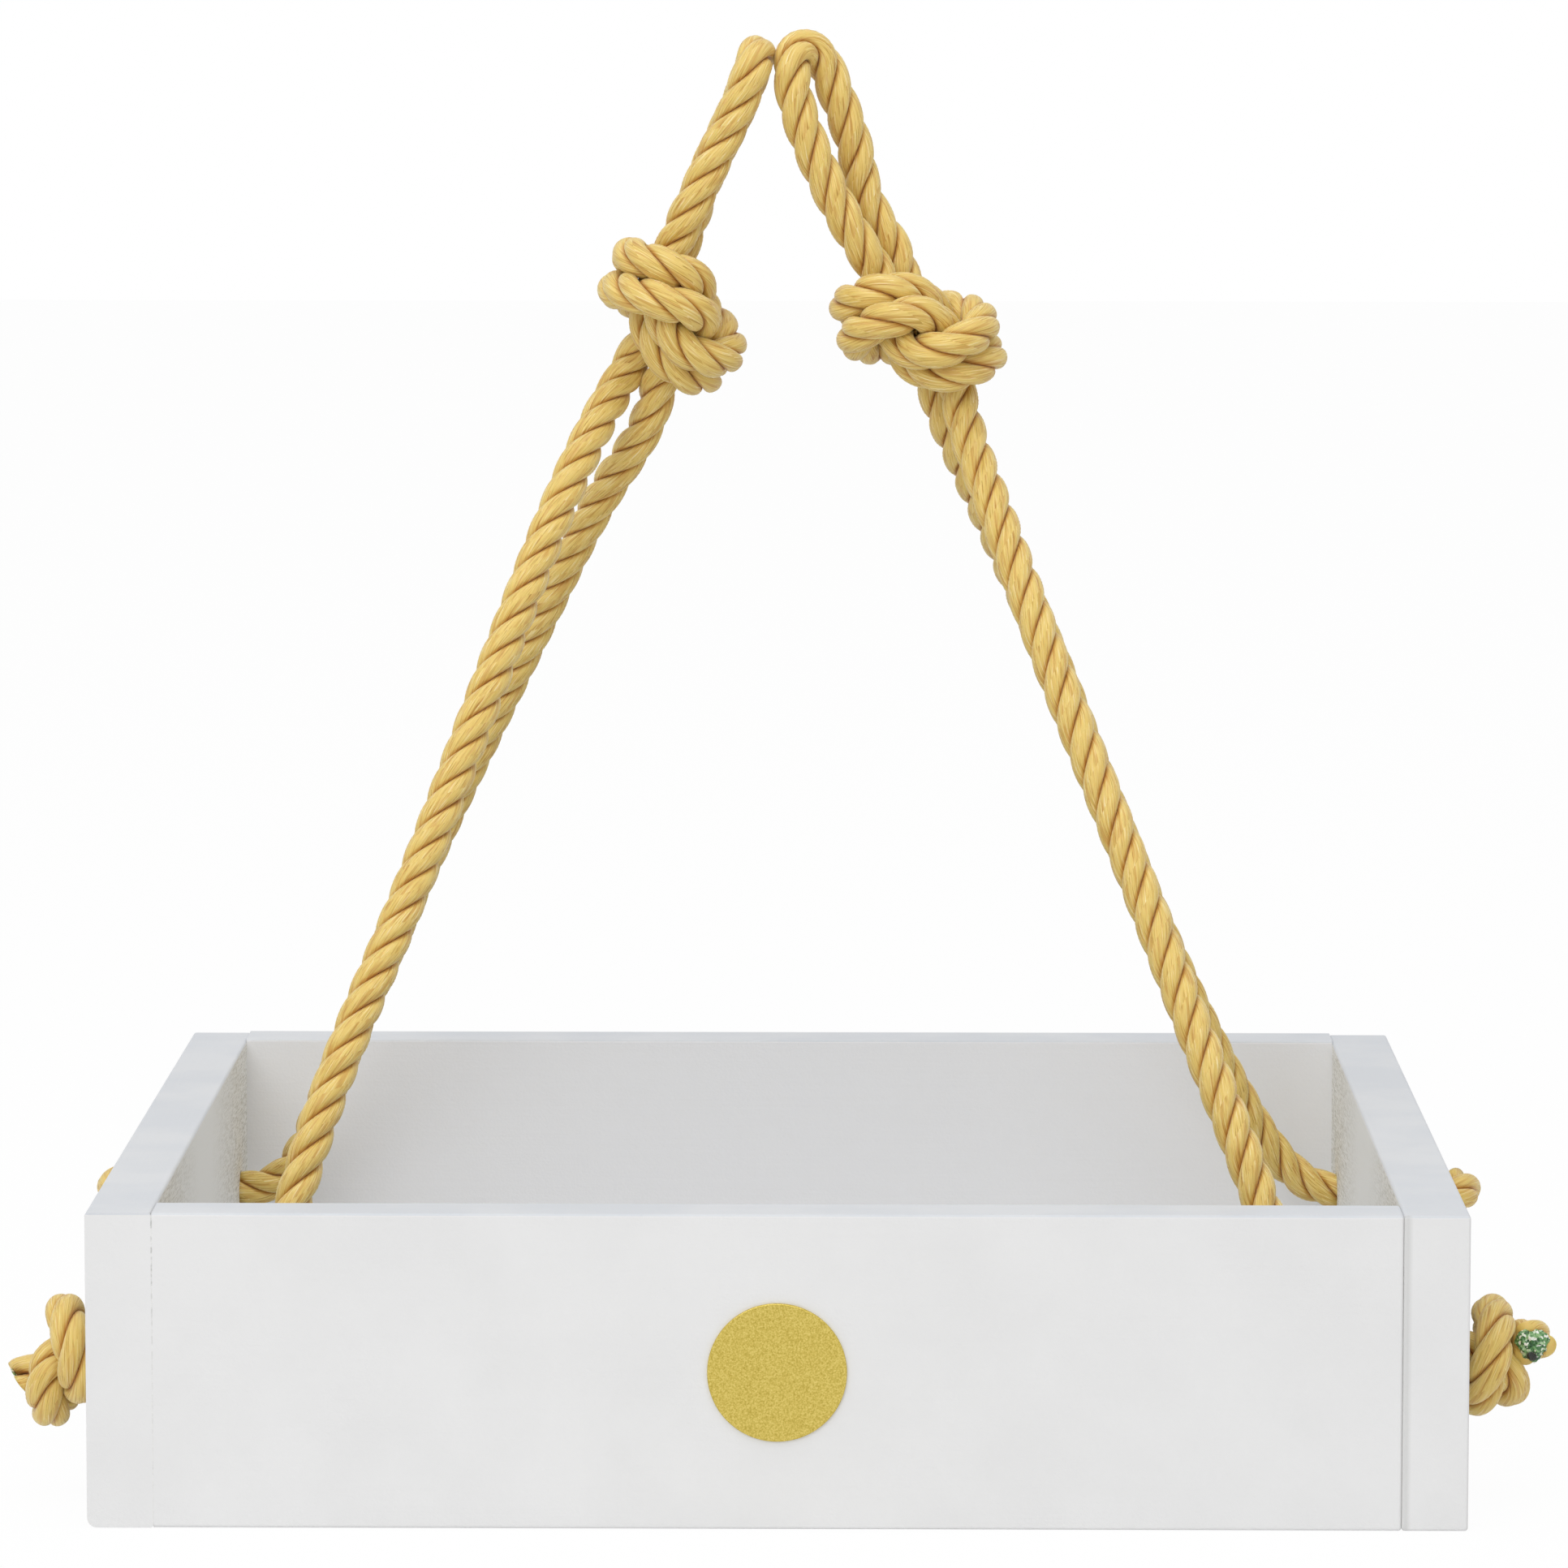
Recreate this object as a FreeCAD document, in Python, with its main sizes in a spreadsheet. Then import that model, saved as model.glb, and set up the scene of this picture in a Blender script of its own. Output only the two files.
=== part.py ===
import FreeCAD
import Part
import Sketcher
import os
from math import acos, cos, pi, tan

# Hanging platform bird feeder, in millimetres.
# Origin: centre of the tray's underside. +X to the right, -Y to the front, +Z up.
# Four boards make the tray, and a perforated floor lies on two cleats inside it.
# Two ropes are knotted outside the side boards, pass in through them and rise to an eye each.

DRIVING_SIZES = [
    ("tray_width", 330.2),
    ("tray_depth", 304.8),
    ("board_height", 76.2),
    ("board_thickness", 15.9),
    ("back_board_rise", 0.6),
    ("eased_edge", 0.8),
    ("worn_edge", 2.4),
    ("seam_ease", 0.7),
    ("rope_hole", 11.1),
    ("rope_hole_inset", 38.1),
    ("rope_hole_height", 38.1),
    ("cleat_depth", 12.7),
    ("cleat_height", 12.7),
    ("screen_thickness", 1.5),
    ("screen_clearance", 1.2),
    ("screen_corner", 3.0),
    ("drain_hole", 6.4),
    ("drain_margin", 22.0),
    ("drain_columns", 10),
    ("drain_rows", 9),
    ("screw_shank", 4.2),
    ("screw_head", 8.0),
    ("screw_head_depth", 3.2),
    ("screw_point", 5.0),
    ("screw_fit", 0.1),
    ("corner_screw_length", 41.0),
    ("corner_screw_spacing", 44.0),
    ("cleat_screw_length", 22.0),
    ("cleat_screw_spacing", 110.0),
    ("badge_diameter", 33.4),
    ("badge_thickness", 0.8),
    ("badge_edge", 0.25),
    ("rope_diameter", 8.5),
    ("knot_pitch", 9.0),
    ("seal_length", 5.0),
    ("seal_overhang", 0.5),
    ("seal_edge", 2.0),
]

doc = FreeCAD.newDocument("PlatformBirdFeeder")
sheet = doc.addObject("Spreadsheet::Sheet", "sizes")
for row, (alias, value) in enumerate(DRIVING_SIZES, start=1):
    sheet.set(f"A{row}", alias)
    sheet.set(f"B{row}", str(value))
    sheet.setAlias(f"B{row}", alias)
doc.recompute()
size = {alias: float(getattr(sheet, alias)) for alias, value in DRIVING_SIZES}

nodes = []


def bind(item, expressions):
    """Ties properties of an object to expressions of the sheet's values."""
    for path, expression in expressions.items():
        item.setExpression(path, expression)


def new_body(name):
    """A piece made by sketches and features, with the node's name as its label."""
    body = doc.addObject("PartDesign::Body", name)
    body.Label = name
    nodes.append(body)
    return body


def place(item, x="0", y="0", z="0"):
    """Puts a piece's own centre at a point given by expressions."""
    base = {"Placement.Base.x": x, "Placement.Base.y": y, "Placement.Base.z": z}
    bind(item, base)


def new_sketch(body, name, role):
    """A sketch on one of the body's own origin planes."""
    sketch = body.newObject("Sketcher::SketchObject", name)
    plane = [item for item in body.Origin.OriginFeatures if item.Role == role][0]
    sketch.AttachmentSupport = [(plane, "")]
    sketch.MapMode = "FlatFace"
    return sketch


def draw_rectangle(sketch, width, height):
    """A rectangle about the sketch's origin, its two sides bound to the sheet."""
    corners = [(-10, -5), (10, -5), (10, 5), (-10, 5)]
    points = [FreeCAD.Vector(x, y, 0) for x, y in corners]
    for index in range(4):
        following = (index + 1) % 4
        sketch.addGeometry(Part.LineSegment(points[index], points[following]), False)
    for index in range(4):
        following = (index + 1) % 4
        sketch.addConstraint(Sketcher.Constraint("Coincident", index, 2, following, 1))
    for index, kind in enumerate(("Horizontal", "Vertical", "Horizontal", "Vertical")):
        sketch.addConstraint(Sketcher.Constraint(kind, index))
    sketch.addConstraint(Sketcher.Constraint("Symmetric", 0, 1, 1, 2, -1, 1))
    across = sketch.addConstraint(Sketcher.Constraint("DistanceX", 0, 1, 0, 2, 20.0))
    upward = sketch.addConstraint(Sketcher.Constraint("DistanceY", 1, 1, 1, 2, 10.0))
    sketch.setExpression(f"Constraints[{across}]", width)
    sketch.setExpression(f"Constraints[{upward}]", height)


def pad(body, sketch, length, symmetric):
    """Pads a sketch, to both sides of its plane when symmetric."""
    feature = body.newObject("PartDesign::Pad", body.Name + "_stock")
    feature.Profile = sketch
    feature.SideType = "Symmetric" if symmetric else "One side"
    feature.setExpression("Length", length)
    doc.recompute()
    return feature


def edges_along(feature, axis, keep=lambda centre: True):
    """Names of a feature's straight edges that run along an axis and pass a test."""
    names = []
    for index, edge in enumerate(feature.Shape.Edges, start=1):
        ends = [vertex.Point for vertex in edge.Vertexes]
        if len(ends) < 2 or edge.Curve.TypeId != "Part::GeomLine":
            continue
        run = (ends[1] - ends[0]).normalize()
        if abs(getattr(run, axis)) > 0.999 and keep(edge.CenterOfMass):
            names.append(f"Edge{index}")
    return names


def round_edges(body, feature, names, radius, suffix):
    """Rounds named edges of a body's last feature."""
    fillet = body.newObject("PartDesign::Fillet", body.Name + suffix)
    fillet.Base = (feature, names)
    fillet.setExpression("Radius", radius)
    doc.recompute()
    return fillet


AXIS_TURNS = {
    "+x": FreeCAD.Rotation(FreeCAD.Vector(0, 1, 0), 90),
    "-x": FreeCAD.Rotation(FreeCAD.Vector(0, 1, 0), -90),
    "+y": FreeCAD.Rotation(FreeCAD.Vector(1, 0, 0), -90),
    "-y": FreeCAD.Rotation(FreeCAD.Vector(1, 0, 0), 90),
    "+z": FreeCAD.Rotation(),
}


def cut_cylinder(body, name, heading, at, diameter, depth):
    """A drilled hole that starts at a point and runs along a heading."""
    hole = body.newObject("PartDesign::SubtractiveCylinder", body.Name + name)
    hole.Placement = FreeCAD.Placement(FreeCAD.Vector(), AXIS_TURNS[heading])
    place(hole, *at)
    bind(hole, {"Radius": f"({diameter}) / 2", "Height": depth})
    doc.recompute()
    return hole


def cut_countersink(body, name, heading, at):
    """The cone that a flat screw head sits in, opening at a face."""
    cone = body.newObject("PartDesign::SubtractiveCone", body.Name + name)
    cone.Placement = FreeCAD.Placement(FreeCAD.Vector(), AXIS_TURNS[heading])
    place(cone, *at)
    bind(cone, {
        "Radius1": "(sizes.screw_head + sizes.screw_fit) / 2",
        "Radius2": "(sizes.screw_shank + sizes.screw_fit) / 2",
        "Height": "sizes.screw_head_depth",
    })
    doc.recompute()


# Boards: extruded plastic lumber with eased long edges, sawn square at its ends.
# The side boards run the full depth and cover the ends of the front and back boards.

SCREW_HEIGHTS = {
    "low": "-sizes.corner_screw_spacing / 2",
    "high": "sizes.corner_screw_spacing / 2",
}
END_CENTRE = "(sizes.tray_depth - sizes.board_thickness) / 2"
SCREW_BORE = "sizes.screw_shank + sizes.screw_fit"
CORNER_REACH = "sizes.corner_screw_length - sizes.board_thickness + 1"
CLEAT_REACH = "sizes.cleat_screw_length - sizes.cleat_depth + 1"
CLEAT_SCREW_SPOTS = {
    "left": "-sizes.cleat_screw_spacing",
    "middle": "0",
    "right": "sizes.cleat_screw_spacing",
}


def side_board(name, side):
    """A full-depth board with two rope holes and four countersunk screw holes."""
    body = new_body(name)
    profile = new_sketch(body, name + "_profile", "XZ_Plane")
    draw_rectangle(profile, "sizes.board_thickness", "sizes.board_height")
    stock = pad(body, profile, "sizes.tray_depth", True)
    outer = 1 if side == "+" else -1

    def is_worn(centre):
        return name == "left_side_board" and centre.z < 0 and centre.x * outer > 0

    eased = edges_along(stock, "y", lambda centre: not is_worn(centre))
    last = round_edges(body, stock, eased, "sizes.eased_edge", "_eased")
    worn = edges_along(last, "y", is_worn)
    if worn:
        last = round_edges(body, last, worn, "sizes.worn_edge", "_worn")
    if name == "right_side_board":
        seam = edges_along(last, "z", lambda centre: centre.x < 0 and centre.y < 0)
        round_edges(body, last, seam, "sizes.seam_ease", "_seam")
    inward = "-x" if side == "+" else "+x"
    face = f"{side}sizes.board_thickness / 2"
    for end in ("-", "+"):
        hole_y = f"{end}(sizes.tray_depth / 2 - sizes.rope_hole_inset)"
        hole_z = "sizes.rope_hole_height - sizes.board_height / 2"
        label = "_front_rope_hole" if end == "-" else "_back_rope_hole"
        cut_cylinder(body, label, inward, (face, hole_y, hole_z), "sizes.rope_hole",
                     "sizes.board_thickness")
        for level, height in SCREW_HEIGHTS.items():
            spot = (face, f"{end}{END_CENTRE}", height)
            label = f"_{'front' if end == '-' else 'back'}_{level}"
            cut_cylinder(body, label + "_bore", inward, spot, SCREW_BORE,
                         "sizes.board_thickness")
            cut_countersink(body, label + "_sink", inward, spot)
    place(body, f"{side}(sizes.tray_width - sizes.board_thickness) / 2", "0",
          "sizes.board_height / 2")
    return body


def end_board(name, end, rise):
    """A board between the side boards, with pilot holes in its ends and inner face."""
    body = new_body(name)
    profile = new_sketch(body, name + "_profile", "YZ_Plane")
    draw_rectangle(profile, "sizes.board_thickness", f"sizes.board_height + {rise}")
    stock = pad(body, profile, "sizes.tray_width - 2 * sizes.board_thickness", True)
    last = round_edges(body, stock, edges_along(stock, "x"), "sizes.eased_edge", "_eased")
    if name == "front_board":
        seam = edges_along(last, "z", lambda centre: centre.x > 0 and centre.y < 0)
        round_edges(body, last, seam, "sizes.seam_ease", "_seam")
    for side in ("-", "+"):
        inward = "-x" if side == "+" else "+x"
        for level, height in SCREW_HEIGHTS.items():
            face = f"{side}(sizes.tray_width / 2 - sizes.board_thickness)"
            spot = (face, "0", f"{height} - {rise} / 2")
            label = f"_{'left' if side == '-' else 'right'}_{level}_pilot"
            cut_cylinder(body, label, inward, spot, SCREW_BORE, CORNER_REACH)
    outward = "-y" if end == "-" else "+y"
    inner = "+" if end == "-" else "-"
    for label, along in CLEAT_SCREW_SPOTS.items():
        low = f"sizes.cleat_height / 2 - (sizes.board_height + {rise}) / 2"
        spot = (along, f"{inner}sizes.board_thickness / 2", low)
        cut_cylinder(body, f"_cleat_{label}_pilot", outward, spot, SCREW_BORE, CLEAT_REACH)
    place(body, "0", f"{end}{END_CENTRE}", f"(sizes.board_height + {rise}) / 2")
    return body


left_side_board = side_board("left_side_board", "-")
right_side_board = side_board("right_side_board", "+")
front_board = end_board("front_board", "-", "0")
back_board = end_board("back_board", "+", "sizes.back_board_rise")


# Cleats: strips screwed low inside the front and back boards, to carry the floor.

def cleat(name, end):
    """A square strip between the side boards with three countersunk holes."""
    body = new_body(name)
    profile = new_sketch(body, name + "_profile", "YZ_Plane")
    draw_rectangle(profile, "sizes.cleat_depth", "sizes.cleat_height")
    stock = pad(body, profile, "sizes.tray_width - 2 * sizes.board_thickness", True)
    inner = 1 if end == "-" else -1
    free = edges_along(stock, "x", lambda centre: centre.y * inner > 0)
    round_edges(body, stock, free, "sizes.eased_edge", "_eased")
    outward = "-y" if end == "-" else "+y"
    face = f"{'+' if end == '-' else '-'}sizes.cleat_depth / 2"
    for label, along in CLEAT_SCREW_SPOTS.items():
        spot = (along, face, "0")
        cut_cylinder(body, f"_{label}_bore", outward, spot, SCREW_BORE, "sizes.cleat_depth")
        cut_countersink(body, f"_{label}_sink", outward, spot)
    middle = "sizes.tray_depth / 2 - sizes.board_thickness - sizes.cleat_depth / 2"
    place(body, "0", f"{end}({middle})", "sizes.cleat_height / 2")
    return body


front_cleat = cleat("front_cleat", "-")
back_cleat = cleat("back_cleat", "+")


# Floor screen: one perforated sheet that lies loose on the cleats and lifts out.

floor_screen = new_body("floor_screen")
outline = new_sketch(floor_screen, "floor_outline", "XY_Plane")
SCREEN_WIDTH = "sizes.tray_width - 2 * sizes.board_thickness - 2 * sizes.screen_clearance"
SCREEN_DEPTH = "sizes.tray_depth - 2 * sizes.board_thickness - 2 * sizes.screen_clearance"
draw_rectangle(outline, SCREEN_WIDTH, SCREEN_DEPTH)
screen_stock = pad(floor_screen, outline, "sizes.screen_thickness", False)
screen_corners = edges_along(screen_stock, "z")
round_edges(floor_screen, screen_stock, screen_corners, "sizes.screen_corner", "_corners")
column_span = f"({SCREEN_WIDTH} - 2 * sizes.drain_margin)"
row_span = f"({SCREEN_DEPTH} - 2 * sizes.drain_margin)"
first_spot = (f"-{column_span} / 2", f"-{row_span} / 2", "0")
first_hole = cut_cylinder(floor_screen, "_drain_hole", "+z", first_spot, "sizes.drain_hole",
                          "sizes.screen_thickness")
drain_pattern = floor_screen.newObject("PartDesign::LinearPattern", "drain_pattern")
drain_pattern.Originals = [first_hole]
origin_axes = {item.Role: item for item in floor_screen.Origin.OriginFeatures}
drain_pattern.Direction = (origin_axes["X_Axis"], [""])
drain_pattern.Direction2 = (origin_axes["Y_Axis"], [""])
bind(drain_pattern, {
    "Length": column_span,
    "Occurrences": "sizes.drain_columns",
    "Length2": row_span,
    "Occurrences2": "sizes.drain_rows",
})
floor_screen.Tip = drain_pattern
place(floor_screen, "0", "0", "sizes.cleat_height")


# Badge: a plain stamped disc stuck to the middle of the front board.

badge = new_body("badge")
disc = new_sketch(badge, "badge_disc", "XZ_Plane")
disc.addGeometry(Part.Circle(FreeCAD.Vector(), FreeCAD.Vector(0, 0, 1), 10), False)
disc.addConstraint(Sketcher.Constraint("Coincident", 0, 3, -1, 1))
across = disc.addConstraint(Sketcher.Constraint("Diameter", 0, 20.0))
disc.setExpression(f"Constraints[{across}]", "sizes.badge_diameter")
badge_stock = pad(badge, disc, "sizes.badge_thickness", False)
rim = [
    f"Edge{index}"
    for index, edge in enumerate(badge_stock.Shape.Edges, start=1)
    if edge.Curve.TypeId == "Part::GeomCircle" and edge.CenterOfMass.y < -0.01
]
round_edges(badge, badge_stock, rim, "sizes.badge_edge", "_rim")
place(badge, "0", "-sizes.tray_depth / 2", "sizes.board_height / 2")


# Screws: flat-head wood screws, one fused head, shank and point each.

def screw(name, heading, at, length):
    """A flat-head screw whose head lies in a face and whose shank runs along a heading."""
    head = doc.addObject("Part::Cone", name + "_head")
    bind(head, {
        "Radius1": "sizes.screw_head / 2",
        "Radius2": "sizes.screw_shank / 2",
        "Height": "sizes.screw_head_depth",
    })
    shank = doc.addObject("Part::Cylinder", name + "_shank")
    shank_length = f"{length} - sizes.screw_head_depth - sizes.screw_point"
    bind(shank, {"Radius": "sizes.screw_shank / 2", "Height": shank_length})
    place(shank, z="sizes.screw_head_depth")
    point = doc.addObject("Part::Cone", name + "_point")
    bind(point, {"Radius1": "sizes.screw_shank / 2", "Height": "sizes.screw_point"})
    point.Radius2 = 0
    place(point, z=f"{length} - sizes.screw_point")
    whole = doc.addObject("Part::MultiFuse", name)
    whole.Shapes = [head, shank, point]
    whole.Refine = False
    whole.Placement = FreeCAD.Placement(FreeCAD.Vector(), AXIS_TURNS[heading])
    place(whole, *at)
    return whole


def screw_group(name, screws):
    """Identical screws of one joint, as a group of separate solids."""
    group = doc.addObject("Part::Compound", name)
    group.Label = name
    group.Links = screws
    nodes.append(group)


for end, end_name in (("-", "front"), ("+", "back")):
    for side, side_name in (("-", "left"), ("+", "right")):
        heading = "-x" if side == "+" else "+x"
        pair = []
        for level, height in SCREW_HEIGHTS.items():
            spot = (f"{side}sizes.tray_width / 2", f"{end}{END_CENTRE}",
                    f"sizes.board_height / 2 + {height}")
            title = f"{end_name}_{side_name}_{level}_screw"
            pair.append(screw(title, heading, spot, "sizes.corner_screw_length"))
        screw_group(f"{end_name}_{side_name}_corner_screws", pair)
    outward = "-y" if end == "-" else "+y"
    row_of_screws = []
    for label, along in CLEAT_SCREW_SPOTS.items():
        inner_face = "sizes.tray_depth / 2 - sizes.board_thickness - sizes.cleat_depth"
        spot = (along, f"{end}({inner_face})", "sizes.cleat_height / 2")
        title = f"{end_name}_cleat_{label}_screw"
        row_of_screws.append(screw(title, outward, spot, "sizes.cleat_screw_length"))
    screw_group(f"{end_name}_cleat_screws", row_of_screws)


# Ropes: each is one length of three-strand rope, drawn here as a plain round tube.
# Knots are lists of points in pitches, in a frame of their own. The first axis runs along
# the rope. An overhand knot looks the same after a half turn about its second axis, so the
# stopper needs half its points, and the second pass of a loop knot is the first one turned.

STOPPER_HALF = [
    (-0.55, -0.2, 0.45),
    (0.5, 0.55, 0.55),
    (0.5, 1.3, -0.6),
    (0.3, 0.5, -1.65),
    (0.0, -0.8, -1.3),
]
STOPPER_MIDDLE = (0.0, -1.05, 0.0)
TURNED_TAIL = [(1.15, -0.44, 0.0), (1.0, -0.35, 0.8)]
DROPPED_TAIL = [(1.25, 0.23, -0.83)]
LOOP_PASS = [
    (-1.5, 0.1, 1.15),
    (-0.25, 0.65, 0.95),
    (0.6, 1.7, 0.3),
    (0.4, 2.25, -0.85),
    (-0.15, 1.5, -1.8),
    (-0.5, 0.1, -1.7),
    (-0.6, -1.1, -0.9),
    (-0.45, -1.55, 0.6),
    (-0.4, -0.65, 1.65),
    (-0.6, 0.75, 2.2),
    (-1.15, 1.65, 1.15),
    (-1.1, 0.85, -0.05),
    (-0.25, -0.15, -0.6),
    (0.95, -0.5, -0.35),
    (2.2, -0.65, -0.75),
]


BEND_SHARE = 0.45


def half_turn(points):
    """The same points after a half turn about the second axis, in the other order."""
    return [(-x, y, -z) for x, y, z in reversed(points)]


def placed(points, centre, first, second, hand=1):
    """Knot points carried from the knot's own frame to the feeder's, mirrored for hand -1."""
    first = FreeCAD.Vector(*first).normalize()
    second = FreeCAD.Vector(*second)
    second = (second - first * second.dot(first)).normalize()
    third = first.cross(second) * hand
    origin = FreeCAD.Vector(*centre)
    pitch = size["knot_pitch"]
    return [origin + (first * x + second * y + third * z) * pitch for x, y, z in points]


STOPPER = STOPPER_HALF + [STOPPER_MIDDLE] + half_turn(STOPPER_HALF)
TURNED_STOPPER = STOPPER + TURNED_TAIL
DROPPED_STOPPER = STOPPER + DROPPED_TAIL


def vectors(points):
    return [FreeCAD.Vector(*point) for point in points]


LEFT_FRONT_STOPPER = ((-174.0, -112.7, 34.0), (-1, 0, 0), (0, -1, -1))
LEFT_BACK_STOPPER = ((-174.0, 110.25, 35.9), (-1, 0, 0), (0, 0, -1), -1)
RIGHT_FRONT_STOPPER = ((174.0, -110.25, 35.9), (1, 0, 0), (0, 0, -1), -1)
RIGHT_BACK_STOPPER = ((174.0, 110.25, 35.9), (1, 0, 0), (0, 0, -1))
LEFT_LOOP_KNOT = ((-30.0, 0.0, 285.0), (0.64, 0.0, 0.77), (0.38, -0.87, -0.32))
RIGHT_LOOP_KNOT = ((34.0, 0.0, 279.0), (0.05, 0.0, 1.0), (0.0, -1.0, 0.0))
LEFT_PASSES = (half_turn(LOOP_PASS), LOOP_PASS)
RIGHT_PASSES = (LOOP_PASS, half_turn(LOOP_PASS))

LEFT_FRONT_LEG = [
    (-146.0, -114.3, 38.1), (-133.0, -114.3, 39.0), (-123.0, -110.5, 52.0),
    (-118.0, -101.5, 75.0), (-107.5, -86.5, 106.0),
    (-92.5, -66.5, 141.0), (-71.0, -37.0, 199.0), (-57.5, -17.0, 234.5),
    (-47.5, -3.0, 256.0),
]
LEFT_BACK_LEG = [
    (-146.0, 114.3, 38.1), (-134.5, 113.5, 43.5), (-125.0, 106.0, 66.0),
    (-110.5, 88.0, 101.0), (-92.0, 63.5, 144.0),
    (-65.5, 36.5, 199.0), (-49.0, 19.5, 233.0), (-34.5, 10.5, 254.0),
]
RIGHT_FRONT_LEG = [
    (146.0, -114.3, 38.1), (133.0, -114.3, 39.0), (123.5, -110.0, 55.0),
    (115.0, -100.0, 79.0), (101.5, -81.0, 112.0),
    (86.3, -60.5, 151.0), (67.8, -39.5, 196.0), (54.6, -20.0, 231.5),
    (47.0, -8.0, 251.0),
]
RIGHT_BACK_LEG = [
    (146.0, 114.3, 38.1), (133.5, 113.0, 46.5), (119.5, 104.0, 70.0),
    (103.5, 87.5, 104.0), (86.5, 65.0, 146.0),
    (68.5, 40.0, 194.0), (53.0, 23.0, 229.0), (44.5, 11.0, 248.0),
]
LEFT_EYE = [
    (-23.0, -8.5, 311.5), (-17.0, -8.0, 324.5), (-11.0, -7.5, 337.0),
    (-7.0, -6.8, 348.8), (-7.0, 6.8, 348.8), (-11.0, 8.0, 337.0),
    (-16.8, 8.5, 325.5), (-21.5, 6.5, 315.0),
]
RIGHT_EYE = [
    (20.2, 6.0, 311.5), (18.2, 5.5, 324.5), (13.5, 4.0, 338.0),
    (8.6, 3.2, 350.5), (1.2, -2.8, 350.0), (2.6, -4.5, 336.0),
    (9.5, -5.0, 318.5), (17.0, -5.0, 304.0),
]


def rope_route(front, front_leg, passes, knot, eye, back_leg, back):
    """All points of one rope, from its front end to its back end."""
    rising, falling = (placed(one_pass, *knot) for one_pass in passes)
    return (
        front[::-1] + vectors(front_leg) + rising + vectors(eye) + falling[::-1]
        + vectors(back_leg[::-1]) + back
    )


def rope_tube(name, points):
    """A round tube along straight runs joined by tangent arcs."""
    edges = []
    radii = []
    start = points[0]
    for before, corner, after in zip(points, points[1:], points[2:]):
        arriving = corner - before
        leaving = after - corner
        reach = BEND_SHARE * min(arriving.Length, leaving.Length)
        arriving.normalize()
        leaving.normalize()
        turn = acos(max(-1.0, min(1.0, arriving.dot(leaving))))
        radii.append(reach / tan(turn / 2))
        enter = corner - arriving * reach
        exit_point = corner + leaving * reach
        middle = (enter + exit_point) * 0.5
        bisector = (middle - corner).normalize()
        depth = radii[-1] * (1 / cos(turn / 2) - 1)
        edges.append(Part.LineSegment(start, enter).toShape())
        edges.append(Part.Arc(enter, corner + bisector * depth, exit_point).toShape())
        start = exit_point
    edges.append(Part.LineSegment(start, points[-1]).toShape())
    spine = Part.Wire(edges)
    heading = (points[1] - points[0]).normalize()
    section = Part.Wire([Part.makeCircle(size["rope_diameter"] / 2, points[0], heading)])
    tube = spine.makePipeShell([section], True, False)
    expected = pi * size["rope_diameter"] ** 2 / 4 * spine.Length
    print(name, "length", round(spine.Length, 1), "volume share",
          round(tube.Volume / expected, 4), "smallest radii",
          [round(radius, 1) for radius in sorted(radii)[:6]])
    feature = doc.addObject("Part::Feature", name)
    feature.Shape = tube
    feature.Label = name
    nodes.append(feature)


def end_seal(name, tip, inner):
    """A blunt dab of sealant over the cut end of a rope, face to face with the tube."""
    heading = (tip - inner).normalize()
    radius = size["rope_diameter"] / 2 + size["seal_overhang"]
    dab = Part.makeCylinder(radius, size["seal_length"], FreeCAD.Vector())
    far_rim = [edge for edge in dab.Edges if edge.BoundBox.ZMin > size["seal_length"] / 2]
    dab = dab.makeFillet(size["seal_edge"], far_rim)
    feature = doc.addObject("Part::Feature", name)
    feature.Shape = dab
    turn = FreeCAD.Rotation(FreeCAD.Vector(0, 0, 1), heading)
    feature.Placement = FreeCAD.Placement(tip, turn)
    feature.Label = name
    nodes.append(feature)


left_route = rope_route(
    placed(DROPPED_STOPPER, *LEFT_FRONT_STOPPER), LEFT_FRONT_LEG, LEFT_PASSES,
    LEFT_LOOP_KNOT, LEFT_EYE, LEFT_BACK_LEG, placed(TURNED_STOPPER, *LEFT_BACK_STOPPER),
)
right_route = rope_route(
    placed(TURNED_STOPPER, *RIGHT_FRONT_STOPPER), RIGHT_FRONT_LEG, RIGHT_PASSES,
    RIGHT_LOOP_KNOT, RIGHT_EYE, RIGHT_BACK_LEG, placed(TURNED_STOPPER, *RIGHT_BACK_STOPPER),
)
rope_tube("left_rope", left_route)
rope_tube("right_rope", right_route)
end_seal("left_front_end_seal", left_route[0], left_route[1])
end_seal("left_back_end_seal", left_route[-1], left_route[-2])
end_seal("right_front_end_seal", right_route[0], right_route[1])
end_seal("right_back_end_seal", right_route[-1], right_route[-2])


# Check every object and write one file for each piece.

doc.recompute()
for item in doc.Objects:
    if "Invalid" in item.State or "Error" in item.State:
        raise RuntimeError(f"{item.Name} failed: {item.State}")
os.makedirs("parts", exist_ok=True)
for node in nodes:
    if node.Shape.isNull() or not node.Shape.isValid() or not node.Shape.Solids:
        raise RuntimeError(f"{node.Label} has no valid shape")
for node in nodes:
    node.Shape.exportStep(f"parts/{node.Label}.step")
    print(node.Label, "solids", len(node.Shape.Solids), "volume", round(node.Shape.Volume, 1))
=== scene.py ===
import bpy
import numpy as np
from mathutils import Matrix, Vector


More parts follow.
